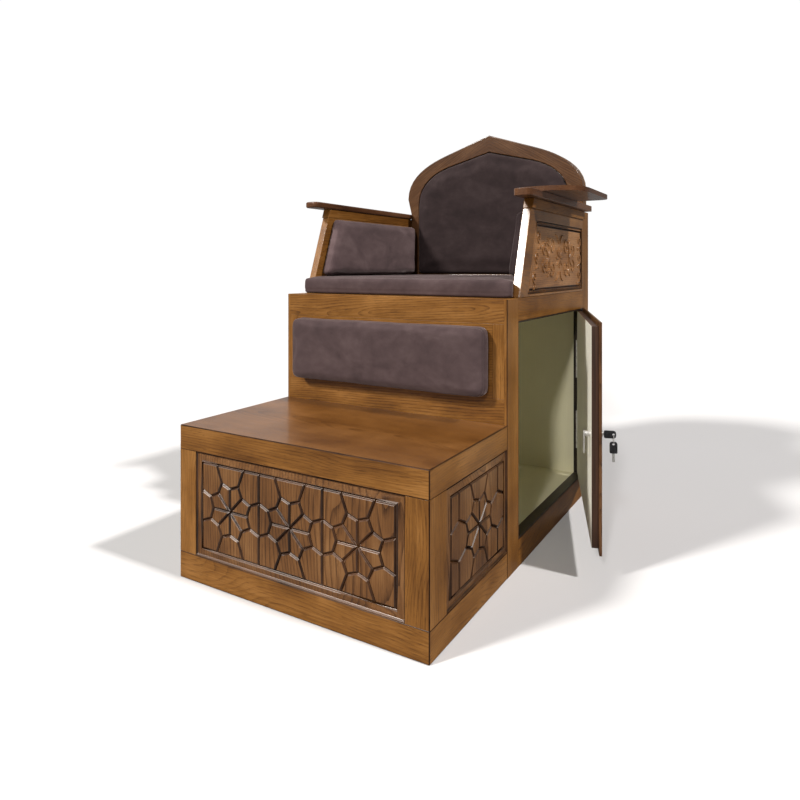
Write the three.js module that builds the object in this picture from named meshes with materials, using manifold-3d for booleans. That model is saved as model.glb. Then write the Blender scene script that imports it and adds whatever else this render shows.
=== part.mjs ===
import * as THREE from 'three'
import * as BufferGeometryUtils from 'three/addons/utils/BufferGeometryUtils.js'
import Module from 'manifold-3d'

// Wooden two-level preacher's chair: a carved step box in front, a lockable cabinet behind it,
// and an upholstered seat with panelled arms and a pointed-arch back on top of the cabinet.
// Millimetres. +X is the sitter's left (the door side), +Y runs back, +Z is up.
// Depths are written from the front face of the step; FRONT moves them to the plan centre.

// Overall
const HALF = 375
const DEPTH = 1237
const FRONT = -DEPTH / 2
const GAP = 0.3
const BOARD = 22

// Step box
const STEP_DEPTH = 430.4
const STEP_HEIGHT = 403
const STEP_RAIL_LOW = 70
const STEP_RAIL_HIGH = 339
const STEP_STILE = 59
const STEP_SIDE_STILE = 78
const PANEL_RECESS = 1
const PANEL_THICK = 16

// Cabinet
const CAB_FRONT = 430.7
const CAB_HEIGHT = 734
const FRONT_BOARD = 27
const LIP = 9
const FRONT_SEAM = 669
const POST_BACK = 512
const REAR_POST = 1163
const OPEN_LOW = 73
const OPEN_HIGH = 672
const REVEAL = 5
const REVEAL_DEPTH = 32
const LINER = 8

// Door, built closed and then swung to its resting angle
const DOOR_REST = THREE.MathUtils.degToRad(18.9)
const HINGE_X = 381
const HINGE_Y = 1155.3
const CORE_THICK = 18
const SKIN_THICK = 7
const CORE_FREE = 520
const CORE_HUNG = 1153
const CORE_LOW = 81
const CORE_HIGH = 664
const SKIN_FREE = 506
const SKIN_HUNG = 1150.5
const SKIN_LOW = 66
const SKIN_HIGH = 676
const LEAF_HEIGHT = 135
const LEAF_LOWS = [167, 421]

// Lock and keys
const LOCK_Y = 560
const LOCK_Z = 372
const LOCK_HOLE = 7.7
const PLUG_R = 4.5
const BOW_START = 392
const BOW_LENGTH = 31
const BOW_WIDTH = 20
const BOW_HOLE = 3.25
const BOW_EYE = 6.5
const RING_R = 11
const RING_WIRE = 0.9

// Arms
const ARM_IN = 350
const ARM_FOOT = 523
const ARM_LEAN = 0.355
const ARM_FRAME_TOP = 990
const ARM_STRIP_TOP = 1020
const ARM_PANEL_LOW = 742
const ARM_PANEL_HIGH = 957
const ARM_PANEL_BACK = 1154
const ARM_STILE = 62
const ARM_BOARD_TOP = 1040
const ARM_BOARD_FRONT = 541
const ARM_BOARD_IN = 345
const ARM_BOARD_OUT = 400

// Back
const BACK_FRONT = 1189
const BACK_HALF = 368
const BACK_APEX = 1338
const BACK_WIDENS = 1042
const BACK_SPRING = 1105
const BACK_BOARD = 18
const PAD_APEX = 1272

// Swivelling tablet on the arm at the door side
const PIVOT_X = 373
const PIVOT_Y = 690
const PIVOT_R = 5
const TABLET_THICK = 14
const TABLET_IN = 325
const TABLET_OUT = 506
const TABLET_FRONT = 640
const TABLET_BACK = 1000

// Upholstery
const CALF_HALF = 325
const CALF_LOW = 474
const CALF_HIGH = 662
const CALF_THICK = 46
const SEAT_FRONT = 487
const SEAT_FRONT_HALF = 362
const SEAT_NOTCH = 519
const SEAT_BACK = 1180
const SEAT_TOP = 786
const ARM_PAD_LOW = 792
const ARM_PAD_HIGH = 986
const ARM_PAD_IN = 320
const ARM_PAD_BACK = 1176
const BACK_PAD_HALF = 316
const BACK_PAD_PROUD = 12

const wasm = await Module()
wasm.setup()

const chair = new THREE.Group()

// Adds one named body, moved from front-based depths to the plan centre.
function add(name, geometry, look) {
  geometry.translate(0, FRONT, 0)
  const material = new THREE.MeshStandardMaterial(look)
  const mesh = new THREE.Mesh(geometry, material)
  mesh.name = name
  chair.add(mesh)
}

// Box between two corners.
function block(x0, x1, y0, y1, z0, z1) {
  const geometry = new THREE.BoxGeometry(x1 - x0, y1 - y0, z1 - z0)
  geometry.translate((x0 + x1) / 2, (y0 + y1) / 2, (z0 + z1) / 2)
  return geometry
}

// Moves every corner of a geometry by a rule on its position.
function reshape(geometry, rule) {
  const position = geometry.attributes.position
  const point = new THREE.Vector3()
  for (let i = 0; i < position.count; i += 1) {
    point.fromBufferAttribute(position, i)
    rule(point)
    position.setXYZ(i, point.x, point.y, point.z)
  }
  geometry.computeVertexNormals()
  return geometry
}

// Closed outline through points; corners with a radius are rounded.
function outline(points, radii = []) {
  const path = new THREE.Shape()
  const count = points.length
  points.forEach((point, i) => {
    const corner = new THREE.Vector2(...point)
    const radius = radii[i] ?? 0
    const before = new THREE.Vector2(...points[(i + count - 1) % count])
    const after = new THREE.Vector2(...points[(i + 1) % count])
    const start = before.sub(corner).setLength(radius).add(corner)
    const end = after.sub(corner).setLength(radius).add(corner)
    if (i === 0) {
      path.moveTo(start.x, start.y)
    } else {
      path.lineTo(start.x, start.y)
    }
    if (radius > 0) {
      path.quadraticCurveTo(corner.x, corner.y, end.x, end.y)
    }
  })
  path.closePath()
  return path
}

function rectangle(u0, u1, v0, v1) {
  return [[u0, v0], [u1, v0], [u1, v1], [u0, v1]]
}

function extrude(shape, depth, curveSegments = 6) {
  return new THREE.ExtrudeGeometry(shape, { depth, bevelEnabled: false, curveSegments })
}

// Shape drawn in (y, z), running from x0 to x1.
function alongX(shape, x0, x1, curveSegments) {
  const geometry = extrude(shape, x1 - x0, curveSegments)
  const turn = new THREE.Matrix4().makeBasis(
    new THREE.Vector3(0, 1, 0),
    new THREE.Vector3(0, 0, 1),
    new THREE.Vector3(1, 0, 0)
  )
  return geometry.applyMatrix4(turn).translate(x0, 0, 0)
}

// Shape drawn in (x, z), running from y0 to y1.
function alongY(shape, y0, y1, curveSegments) {
  const geometry = extrude(shape, y1 - y0, curveSegments)
  return geometry.rotateX(Math.PI / 2).translate(0, y1, 0)
}

// Shape drawn in (x, y), running from z0 to z1.
function alongZ(shape, z0, z1, curveSegments) {
  return extrude(shape, z1 - z0, curveSegments).translate(0, 0, z0)
}

// Mirrors a geometry to the other arm side, keeping its faces outward.
function mirrored(geometry) {
  const copy = geometry.index ? geometry.toNonIndexed() : geometry.clone()
  const position = copy.attributes.position
  const triangle = [new THREE.Vector3(), new THREE.Vector3(), new THREE.Vector3()]
  for (let i = 0; i < position.count; i += 3) {
    triangle.forEach((corner, k) => corner.fromBufferAttribute(position, i + k))
    const order = [triangle[0], triangle[2], triangle[1]]
    order.forEach((corner, k) => position.setXYZ(i + k, -corner.x, corner.y, corner.z))
  }
  copy.computeVertexNormals()
  return copy
}

function toSolid(geometry) {
  const bare = geometry.clone()
  bare.deleteAttribute('normal')
  bare.deleteAttribute('uv')
  const merged = BufferGeometryUtils.mergeVertices(bare, 1e-4)
  const mesh = new wasm.Mesh({
    numProp: 3,
    vertProperties: new Float32Array(merged.attributes.position.array),
    triVerts: new Uint32Array(merged.index.array)
  })
  return new wasm.Manifold(mesh)
}

// One body from several overlapping ones, less the cuts.
function combined(geometries, cuts = []) {
  let solid = toSolid(geometries[0])
  for (const geometry of geometries.slice(1)) {
    solid = solid.add(toSolid(geometry))
  }
  for (const cut of cuts) {
    solid = solid.subtract(toSolid(cut))
  }
  const mesh = solid.getMesh()
  const result = new THREE.BufferGeometry()
  const positions = new THREE.Float32BufferAttribute(mesh.vertProperties, 3)
  result.setAttribute('position', positions)
  result.setIndex(new THREE.Uint32BufferAttribute(mesh.triVerts, 1))
  const faceted = result.toNonIndexed()
  faceted.computeVertexNormals()
  return faceted
}

// Materials
const WOOD = { color: 0x9a6336, roughness: 0.38, metalness: 0 }
const CARVED = { color: 0x7a4f30, roughness: 0.5, metalness: 0 }
const GLOSSY = { color: 0x6b3a24, roughness: 0.22, metalness: 0 }
const DARK_EDGE = { color: 0x2c1c12, roughness: 0.5, metalness: 0 }
const HIDDEN_WOOD = { color: 0x8a5c38, roughness: 0.7, metalness: 0 }
const CREAM = { color: 0xd8d5c0, roughness: 0.6, metalness: 0 }
const VELVET = { color: 0x56484a, roughness: 0.95, metalness: 0 }
const STEEL = { color: 0xc8c8c4, roughness: 0.3, metalness: 1 }
const BLACK = { color: 0x17171a, roughness: 0.45, metalness: 0 }

// ---------------------------------------------------------------- step box
// The top and the rails meet in mitres, so no end grain shows at the edges.
const MITRE = 0.42

function slopeInto(point, inset) {
  point.x = Math.sign(point.x) * (HALF - inset)
}

const stepTop = block(-HALF, HALF, 0, STEP_DEPTH, STEP_HEIGHT - BOARD, STEP_HEIGHT)
reshape(stepTop, (p) => {
  const inset = STEP_HEIGHT - p.z
  slopeInto(p, inset)
  p.y = p.y < 1 ? inset : p.y
})
add('step_top', stepTop, WOOD)

// Front frame: full-width rails, stiles between them, mitred to the sides.
function stepFrontMember(x0, x1, z0, z1, mitreTop) {
  const member = block(x0, x1, 0, BOARD, z0, z1)
  return reshape(member, (p) => {
    if (Math.abs(p.x) > HALF - 1) {
      slopeInto(p, p.y)
    }
    if (mitreTop && p.z > z1 - 1) {
      p.z = STEP_HEIGHT - MITRE - p.y
    }
  })
}

add('step_front_rail_low', stepFrontMember(-HALF, HALF, 0, STEP_RAIL_LOW), WOOD)
add('step_front_rail_high', stepFrontMember(-HALF, HALF, STEP_RAIL_HIGH, STEP_HEIGHT, true), WOOD)
const stileLow = STEP_RAIL_LOW + GAP
const stileHigh = STEP_RAIL_HIGH - GAP
const stepStileR = stepFrontMember(HALF - STEP_STILE, HALF, stileLow, stileHigh)
add('step_front_stile_R', stepStileR, WOOD)
const stepStileL = stepFrontMember(-HALF, STEP_STILE - HALF, stileLow, stileHigh)
add('step_front_stile_L', stepStileL, WOOD)
const panelHalf = HALF - STEP_STILE - GAP
const panelBack = PANEL_RECESS + PANEL_THICK
const frontPanel = block(-panelHalf, panelHalf, PANEL_RECESS, panelBack, stileLow, stileHigh)
add('step_front_panel', frontPanel, CARVED)

// Side frames; the cabinet's front post closes the frame at the rear.
function stepSideMember(y0, y1, z0, z1, mitreTop) {
  const member = block(HALF - BOARD, HALF, y0, y1, z0, z1)
  return reshape(member, (p) => {
    const inset = HALF - p.x
    if (p.y < 1) {
      p.y = inset + MITRE
    }
    if (mitreTop && p.z > z1 - 1) {
      p.z = STEP_HEIGHT - MITRE - inset
    }
  })
}

const sideRailHigh = stepSideMember(0, STEP_DEPTH, STEP_RAIL_HIGH, STEP_HEIGHT, true)
const sideRailLow = stepSideMember(0, STEP_DEPTH, 0, STEP_RAIL_LOW)
const sideStile = stepSideMember(0, STEP_SIDE_STILE, stileLow, stileHigh)
const sidePanelOut = HALF - PANEL_RECESS
const sidePanel = block(
  sidePanelOut - PANEL_THICK,
  sidePanelOut,
  STEP_SIDE_STILE + GAP,
  STEP_DEPTH,
  stileLow,
  stileHigh
)
const stepSides = {
  step_side_rail_high: [sideRailHigh, WOOD],
  step_side_rail_low: [sideRailLow, WOOD],
  step_side_stile: [sideStile, WOOD],
  step_side_panel: [sidePanel, CARVED]
}
for (const [name, [geometry, look]] of Object.entries(stepSides)) {
  add(`${name}_L`, mirrored(geometry), look)
  add(`${name}_R`, geometry, look)
}

// ----------------------------------------------------------------- cabinet
const frontBack = CAB_FRONT + FRONT_BOARD
const frontHalf = HALF - LIP - GAP

const frontLowTop = FRONT_SEAM - GAP
const frontLow = block(-frontHalf, frontHalf, CAB_FRONT, frontBack, 0, frontLowTop)
add('cab_front_low', frontLow, WOOD)
const frontHigh = block(-frontHalf, frontHalf, CAB_FRONT, frontBack, FRONT_SEAM, CAB_HEIGHT)
add('cab_front_high', frontHigh, WOOD)

// Front posts: the side board with a thin lip that covers the end of the front boards.
const postPlan = outline([
  [HALF - LIP, CAB_FRONT],
  [HALF, CAB_FRONT],
  [HALF, POST_BACK],
  [HALF - BOARD, POST_BACK],
  [HALF - BOARD, frontBack + GAP],
  [HALF - LIP, frontBack + GAP]
])
const frontPost = alongZ(postPlan, 0, CAB_HEIGHT)
add('cab_post_front_L', mirrored(frontPost), WOOD)
add('cab_post_front_R', frontPost, WOOD)

const rearPost = block(HALF - BOARD, HALF, REAR_POST, DEPTH, 0, ARM_STRIP_TOP - GAP)
add('post_rear_L', mirrored(rearPost), WOOD)
add('post_rear_R', rearPost, WOOD)

const sideFront = POST_BACK + GAP
const sideBack = REAR_POST - GAP
const railLow = block(HALF - BOARD, HALF, sideFront, sideBack, 0, OPEN_LOW)
const railHigh = block(HALF - BOARD, HALF, sideFront, sideBack, OPEN_HIGH, CAB_HEIGHT)
add('cab_rail_low_L', mirrored(railLow), WOOD)
add('cab_rail_low_R', railLow, WOOD)
add('cab_rail_high_L', mirrored(railHigh), WOOD)
add('cab_rail_high_R', railHigh, WOOD)
const blindPanel = block(
  HALF - BOARD,
  HALF - 4,
  sideFront,
  sideBack,
  OPEN_LOW + GAP,
  OPEN_HIGH - GAP
)
add('cab_panel_L', mirrored(blindPanel), WOOD)

// Dark reveal ring around the door opening.
const ringY0 = sideFront
const ringY1 = sideBack
const ringZ0 = OPEN_LOW + GAP
const ringZ1 = OPEN_HIGH - GAP
const revealRing = outline(rectangle(ringY0, ringY1, ringZ0, ringZ1))
revealRing.holes.push(
  outline(rectangle(ringY0 + REVEAL, ringY1 - REVEAL, ringZ0 + REVEAL, ringZ1 - REVEAL).reverse())
)
const revealIn = HALF - REVEAL_DEPTH
add('door_reveal', alongX(revealRing, revealIn, HALF - 1), DARK_EDGE)

// Cream liner: a box open towards the door.
const linerY0 = 482
const linerY1 = 1196
const linerZ0 = 58
const linerZ1 = 700
const linerX0 = -330
const linerX1 = revealIn - GAP
const tube = outline(rectangle(linerY0, linerY1, linerZ0, linerZ1))
tube.holes.push(
  outline(rectangle(linerY0 + LINER, linerY1 - LINER, linerZ0 + LINER, linerZ1 - LINER).reverse())
)
const linerWalls = alongX(tube, linerX0, linerX1)
const linerEnd = block(linerX0 - LINER, linerX0 + 1, linerY0, linerY1, linerZ0, linerZ1)
add('cab_liner', combined([linerWalls, linerEnd]), CREAM)

// Floor bearer under the middle, seat board and back board.
const sideIn = HALF - BOARD - GAP
const bearerTop = linerZ0 - GAP
const bearer = block(-sideIn, sideIn, DEPTH / 2 - 35, DEPTH / 2 + 35, 0, bearerTop)
add('cab_bearer', bearer, HIDDEN_WOOD)
const seatBoard = block(
  -sideIn,
  sideIn,
  frontBack + GAP,
  BACK_FRONT - GAP,
  CAB_HEIGHT - BOARD,
  CAB_HEIGHT
)
add('seat_board', seatBoard, WOOD)
const cabBack = block(-sideIn, sideIn, DEPTH - BACK_BOARD, DEPTH, 12, CAB_HEIGHT - GAP)
add('cab_back', cabBack, HIDDEN_WOOD)

// ---------------------------------------------------------- calf pad, seat
const calfShape = outline(rectangle(-CALF_HALF, CALF_HALF, CALF_LOW, CALF_HIGH), [22, 22, 22, 22])
add('calf_pad', alongY(calfShape, CAB_FRONT - CALF_THICK, CAB_FRONT - GAP, 4), VELVET)

const armIn = ARM_IN - GAP
const cushionPlan = outline(
  [
    [-SEAT_FRONT_HALF, SEAT_FRONT],
    [SEAT_FRONT_HALF, SEAT_FRONT],
    [SEAT_FRONT_HALF, SEAT_NOTCH],
    [armIn, SEAT_NOTCH],
    [armIn, SEAT_BACK],
    [-armIn, SEAT_BACK],
    [-armIn, SEAT_NOTCH],
    [-SEAT_FRONT_HALF, SEAT_NOTCH]
  ],
  [14, 14, 0, 0, 6, 6, 0, 0]
)
add('seat_cushion', alongZ(cushionPlan, CAB_HEIGHT + GAP, SEAT_TOP, 4), VELVET)

// -------------------------------------------------------------------- arms
function leanY(z, offset = 0) {
  return ARM_FOOT + offset + (z - CAB_HEIGHT) * ARM_LEAN
}

function slantedSide(z0, z1, offset, rear) {
  return [[leanY(z0, offset), z0], [rear, z0], [rear, z1], [leanY(z1, offset), z1]]
}

const armLow = CAB_HEIGHT + GAP
const armHole = slantedSide(ARM_PANEL_LOW, ARM_PANEL_HIGH, ARM_STILE, ARM_PANEL_BACK)
const armFrameShape = outline(slantedSide(armLow, ARM_FRAME_TOP - GAP, 0, sideBack))
armFrameShape.holes.push(outline([...armHole].reverse()))
const armFrame = alongX(armFrameShape, ARM_IN, HALF)
const armPanelShape = outline(
  slantedSide(
    ARM_PANEL_LOW + GAP,
    ARM_PANEL_HIGH - GAP,
    ARM_STILE + 2 * GAP,
    ARM_PANEL_BACK - GAP
  )
)
const armPanel = alongX(armPanelShape, HALF - 1 - PANEL_THICK, HALF - 1)
const armStrip = alongX(
  outline(slantedSide(ARM_FRAME_TOP, ARM_STRIP_TOP - GAP, 0, sideBack)),
  ARM_IN,
  HALF + 5
)
const armPadSide = slantedSide(ARM_PAD_LOW, ARM_PAD_HIGH, 24, ARM_PAD_BACK)
const armPad = alongX(outline(armPadSide, [12, 12, 12, 12]), ARM_PAD_IN, armIn, 4)
const boardPlan = outline(
  rectangle(ARM_BOARD_IN, ARM_BOARD_OUT, ARM_BOARD_FRONT, BACK_FRONT - GAP),
  [22, 22, 0, 0]
)
const plainBoard = alongZ(boardPlan, ARM_STRIP_TOP, ARM_BOARD_TOP)
const drilledPlan = boardPlan.clone()
const pivotHole = new THREE.Path()
pivotHole.absarc(PIVOT_X, PIVOT_Y, PIVOT_R + GAP, 0, Math.PI * 2, true)
drilledPlan.holes.push(pivotHole)
const drilledBoard = alongZ(drilledPlan, ARM_STRIP_TOP, ARM_BOARD_TOP)
add('arm_frame_L', mirrored(armFrame), WOOD)
add('arm_panel_L', mirrored(armPanel), CARVED)
add('arm_strip_L', mirrored(armStrip), WOOD)
add('arm_pad_L', mirrored(armPad), VELVET)
add('arm_board_L', mirrored(plainBoard), GLOSSY)
add('arm_frame_R', armFrame, WOOD)
add('arm_panel_R', armPanel, CARVED)
add('arm_strip_R', armStrip, WOOD)
add('arm_pad_R', armPad, VELVET)
add('arm_board_R', drilledBoard, GLOSSY)

// ------------------------------------------------------------------ tablet
const tabletLow = ARM_BOARD_TOP + GAP
const tabletHigh = tabletLow + TABLET_THICK
const tabletPlan = outline(
  rectangle(TABLET_IN, TABLET_OUT, TABLET_FRONT, TABLET_BACK),
  [24, 110, 36, 24]
)
const tabletHole = new THREE.Path()
tabletHole.absarc(PIVOT_X, PIVOT_Y, PIVOT_R + GAP, 0, Math.PI * 2, true)
tabletPlan.holes.push(tabletHole)
add('tablet', alongZ(tabletPlan, tabletLow, tabletHigh), GLOSSY)
const pinProfile = [
  [0, ARM_STRIP_TOP + 2],
  [PIVOT_R, ARM_STRIP_TOP + 2],
  [PIVOT_R, tabletHigh + GAP],
  [9, tabletHigh + GAP],
  [9, tabletHigh + 2],
  [7, tabletHigh + 3],
  [0, tabletHigh + 3]
].map(([r, z]) => new THREE.Vector2(r, z))
const pin = new THREE.LatheGeometry(pinProfile, 20).rotateX(Math.PI / 2)
add('tablet_pin', pin.translate(PIVOT_X, PIVOT_Y, 0), STEEL)

// -------------------------------------------------------------------- back
// Pointed arch: on each side a straight flank from the apex, then a rounded shoulder.
// flank holds the flank's end and the height of the curve's first handle, shoulder the second.
function arch(apex, half, flank, shoulder, spring, foot) {
  const path = new THREE.Shape()
  path.moveTo(-half, foot)
  path.lineTo(half, foot)
  path.lineTo(half, spring)
  path.bezierCurveTo(half, shoulder[1], shoulder[0], flank[2], flank[0], flank[1])
  path.lineTo(0, apex)
  path.lineTo(-flank[0], flank[1])
  path.bezierCurveTo(-shoulder[0], flank[2], -half, shoulder[1], -half, spring)
  path.closePath()
  return path
}

const backFoot = CAB_HEIGHT + GAP
const outerFlank = [190, 1274, 1247]
const outerShoulder = [270, 1200]
const outerArch = arch(BACK_APEX, BACK_HALF, outerFlank, outerShoulder, BACK_SPRING, BACK_WIDENS)
const lowerHalf = HALF - BOARD - GAP
function backOutline() {
  const path = new THREE.Shape()
  path.moveTo(-lowerHalf, backFoot)
  path.lineTo(lowerHalf, backFoot)
  path.lineTo(lowerHalf, BACK_WIDENS)
  outerArch.getPoints(10).slice(1, -1).forEach((p) => path.lineTo(p.x, p.y))
  path.lineTo(-lowerHalf, BACK_WIDENS)
  path.closePath()
  return path
}
const padArch = (inset) => arch(
  PAD_APEX - inset,
  BACK_PAD_HALF - inset,
  [172 - inset * 0.3, 1228 - inset, 1212 - inset],
  [236, 1168],
  1080,
  ARM_PAD_LOW + inset
)
const backShape = backOutline()
backShape.holes.push(new THREE.Path(padArch(0).getPoints(8).reverse()))
add('back_frame', alongY(backShape, BACK_FRONT, DEPTH - BACK_BOARD - GAP, 10), WOOD)
add('back_board', alongY(backOutline(), DEPTH - BACK_BOARD, DEPTH, 10), HIDDEN_WOOD)
add('back_pad', alongY(padArch(GAP), BACK_FRONT - BACK_PAD_PROUD, DEPTH - BACK_BOARD - 1, 8), VELVET)

// -------------------------------------------------------------------- door
function hung(geometry) {
  geometry.translate(-HINGE_X, -HINGE_Y, 0)
  return geometry.rotateZ(DOOR_REST).translate(HINGE_X, HINGE_Y, 0)
}

function doorSheet(y0, y1, z0, z1, x0, x1) {
  const sheet = outline(rectangle(y0, y1, z0, z1))
  const bore = new THREE.Path()
  bore.absarc(LOCK_Y, LOCK_Z, LOCK_HOLE, 0, Math.PI * 2, true)
  sheet.holes.push(bore)
  return alongX(sheet, x0, x1)
}

const skinIn = HALF + GAP
const skinOut = skinIn + SKIN_THICK
const coreIn = HALF - CORE_THICK
const core = doorSheet(CORE_FREE, CORE_HUNG, CORE_LOW, CORE_HIGH, coreIn, HALF)
add('door_core', hung(core), CREAM)
const skin = doorSheet(SKIN_FREE, SKIN_HUNG, SKIN_LOW, SKIN_HIGH, skinIn, skinOut)
add('door_skin', hung(skin), WOOD)

// Butt hinges: the frame leaf carries the end knuckles, the door leaf the middle one.
function knuckle(z0, z1) {
  const barrel = new THREE.CylinderGeometry(4.2, 4.2, z1 - z0, 20)
  return barrel.rotateX(Math.PI / 2).translate(HINGE_X, HINGE_Y, (z0 + z1) / 2)
}

const frameLeafY = sideBack - REVEAL - GAP
LEAF_LOWS.forEach((low, i) => {
  const high = low + LEAF_HEIGHT
  const third = LEAF_HEIGHT / 3
  const where = i === 0 ? 'low' : 'high'
  const reach = 8
  const notch = block(
    HINGE_X - 4.2 - GAP,
    HINGE_X + reach,
    HINGE_Y - reach,
    HINGE_Y + reach,
    low + third - GAP,
    high - third + GAP
  )
  const frameLeaf = combined(
    [
      block(352, HINGE_X - 1, frameLeafY - 1.5, frameLeafY, low, high),
      knuckle(low, low + third - GAP),
      knuckle(high - third + GAP, high)
    ],
    [notch]
  )
  add(`hinge_frame_leaf_${where}`, frameLeaf, STEEL)
  const doorLeaf = combined([
    block(358, HINGE_X - 2, CORE_HUNG + GAP, CORE_HUNG + 1.8, low + third, high - third),
    knuckle(low + third, high - third)
  ])
  add(`hinge_door_leaf_${where}`, hung(doorLeaf), STEEL)
})

// Cam lock: fixed body with a flange, turning plug with a key slot, cam behind the door.
function turned(profile, segments = 24) {
  const points = profile.map(([r, x]) => new THREE.Vector2(r, x))
  const lathe = new THREE.LatheGeometry(points, segments).rotateZ(-Math.PI / 2)
  return lathe.translate(0, LOCK_Y, LOCK_Z)
}

const bodyBore = PLUG_R + GAP
const lockBody = turned([
  [bodyBore, 343],
  [LOCK_HOLE - GAP, 343],
  [LOCK_HOLE - GAP, skinOut + GAP],
  [10, skinOut + GAP],
  [10, skinOut + 3],
  [8, skinOut + 6],
  [bodyBore, skinOut + 6],
  [bodyBore, 343]
])
add('lock_body', hung(lockBody), STEEL)
const plugShape = new THREE.Shape()
plugShape.absarc(LOCK_Y, LOCK_Z, PLUG_R, 0, Math.PI * 2, false)
const slot = rectangle(LOCK_Y - 1.3, LOCK_Y + 1.3, LOCK_Z - 3.6, LOCK_Z + 3.6).reverse()
plugShape.holes.push(outline(slot))
const plug = alongX(plugShape, 340, skinOut + 5, 8)
const camShape = outline(
  rectangle(LOCK_Y - 7, LOCK_Y + 7, LOCK_Z - 52, LOCK_Z + 9),
  [3, 3, 4, 4]
)
add('lock_plug', hung(combined([plug, alongX(camShape, 338.5, 341.7)])), STEEL)

// Keys: a flat blade with a moulded bow; the second key hangs from the ring.
function bowSheet(u0, v, hole) {
  const half = BOW_WIDTH / 2
  const shape = outline(rectangle(u0, u0 + BOW_LENGTH, v - half, v + half), [4, 8, 8, 4])
  const eye = new THREE.Path()
  eye.absarc(hole, v, BOW_HOLE, 0, Math.PI * 2, true)
  shape.holes.push(eye)
  return shape
}

const eyeX = BOW_START + BOW_LENGTH - BOW_EYE
const bow = alongY(bowSheet(BOW_START, LOCK_Z, eyeX), LOCK_Y - 2.5, LOCK_Y + 2.5)
add('key_bow', hung(bow), BLACK)
const blade = block(354, BOW_START - GAP, LOCK_Y - 1, LOCK_Y + 1, LOCK_Z - 3.3, LOCK_Z + 3.3)
add('key_blade', hung(blade), STEEL)

const ringTop = LOCK_Z - BOW_HOLE + RING_WIRE + 0.6
const ringZ = ringTop - RING_R
const wireRing = new THREE.TorusGeometry(RING_R, RING_WIRE, 8, 32).rotateY(Math.PI / 2)
add('key_ring', hung(wireRing.translate(eyeX, LOCK_Y, ringZ)), STEEL)

const spareEye = ringZ - RING_R - BOW_HOLE + RING_WIRE + 0.6
const spareTop = spareEye + BOW_EYE
const spareBow = alongY(bowSheet(0, 0, BOW_LENGTH - BOW_EYE), LOCK_Y - 2.5, LOCK_Y + 2.5)
spareBow.translate(0, -LOCK_Y, 0).rotateY(-Math.PI / 2)
spareBow.translate(eyeX, LOCK_Y, spareTop - BOW_LENGTH)
add('spare_bow', hung(spareBow), BLACK)
const spareLow = spareTop - BOW_LENGTH - GAP
const spareBlade = block(eyeX - 3.3, eyeX + 3.3, LOCK_Y - 1, LOCK_Y + 1, spareLow - 23, spareLow)
add('spare_blade', hung(spareBlade), STEEL)

export default chair
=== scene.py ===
import math

import bmesh
import bpy
from mathutils import Matrix, Vector, geometry, noise


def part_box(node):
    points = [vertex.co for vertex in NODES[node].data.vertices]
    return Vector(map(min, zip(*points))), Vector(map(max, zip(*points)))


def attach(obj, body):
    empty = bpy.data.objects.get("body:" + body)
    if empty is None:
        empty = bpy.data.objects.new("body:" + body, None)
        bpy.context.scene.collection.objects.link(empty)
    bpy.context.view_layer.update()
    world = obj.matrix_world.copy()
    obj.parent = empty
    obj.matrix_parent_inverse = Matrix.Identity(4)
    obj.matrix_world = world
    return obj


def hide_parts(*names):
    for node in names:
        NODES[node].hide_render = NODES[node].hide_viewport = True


# A stepped preacher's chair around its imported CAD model: materials and eased edges for the
# CAD pieces, carved panels in place of the plain ones, and cushions swollen as cloth.
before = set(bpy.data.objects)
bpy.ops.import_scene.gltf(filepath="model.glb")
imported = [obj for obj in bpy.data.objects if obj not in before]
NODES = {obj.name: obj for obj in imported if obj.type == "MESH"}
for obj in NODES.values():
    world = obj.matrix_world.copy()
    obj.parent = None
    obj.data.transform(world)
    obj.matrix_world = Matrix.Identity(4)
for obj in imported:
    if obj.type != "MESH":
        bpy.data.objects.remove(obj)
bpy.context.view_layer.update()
SCENE = bpy.context.scene
MM = 0.001
ROOT = "chair"

# Plan positions are written from the step's front face, in millimetres.
SET_BACK = 1
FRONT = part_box("step_front_panel")[0].y - SET_BACK * MM


def span(node, axis):
    """Lowest and highest place of a node along one axis, to a tenth of a millimetre."""
    origin = FRONT if axis == 1 else 0.0
    return [round((corner[axis] - origin) / MM, 1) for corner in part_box(node)]


HALF = span("step_top", 0)[1]
STEP_TOP = span("step_top", 2)[1]
CABINET_FRONT = span("cab_front_low", 1)[0]
CABINET_TOP = span("cab_front_high", 2)[1]
REAR = span("post_rear_R", 1)[1]
DOOR_REST = math.radians(18.9)


# -------------------------------------------------------------------- shader graphs
class Nodes:
    """Short calls that add shader nodes to a tree."""

    def __init__(self, tree):
        self.tree = tree

    def put(self, socket, value):
        if isinstance(value, bpy.types.NodeSocket):
            self.tree.links.new(value, socket)
        else:
            socket.default_value = value

    def node(self, kind, inputs=(), **settings):
        made = self.tree.nodes.new("ShaderNode" + kind)
        for key, value in settings.items():
            setattr(made, key, value)
        for key, value in dict(inputs).items():
            self.put(made.inputs[key], value)
        return made

    def math(self, operation, a, b=0.0, c=0.0):
        return self.node("Math", {0: a, 1: b, 2: c}, operation=operation).outputs[0]

    def dot(self, a, b):
        """Cosine of the angle between two directions."""
        made = self.node("VectorMath", {0: a, 1: b}, operation="DOT_PRODUCT")
        return made.outputs["Value"]


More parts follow.
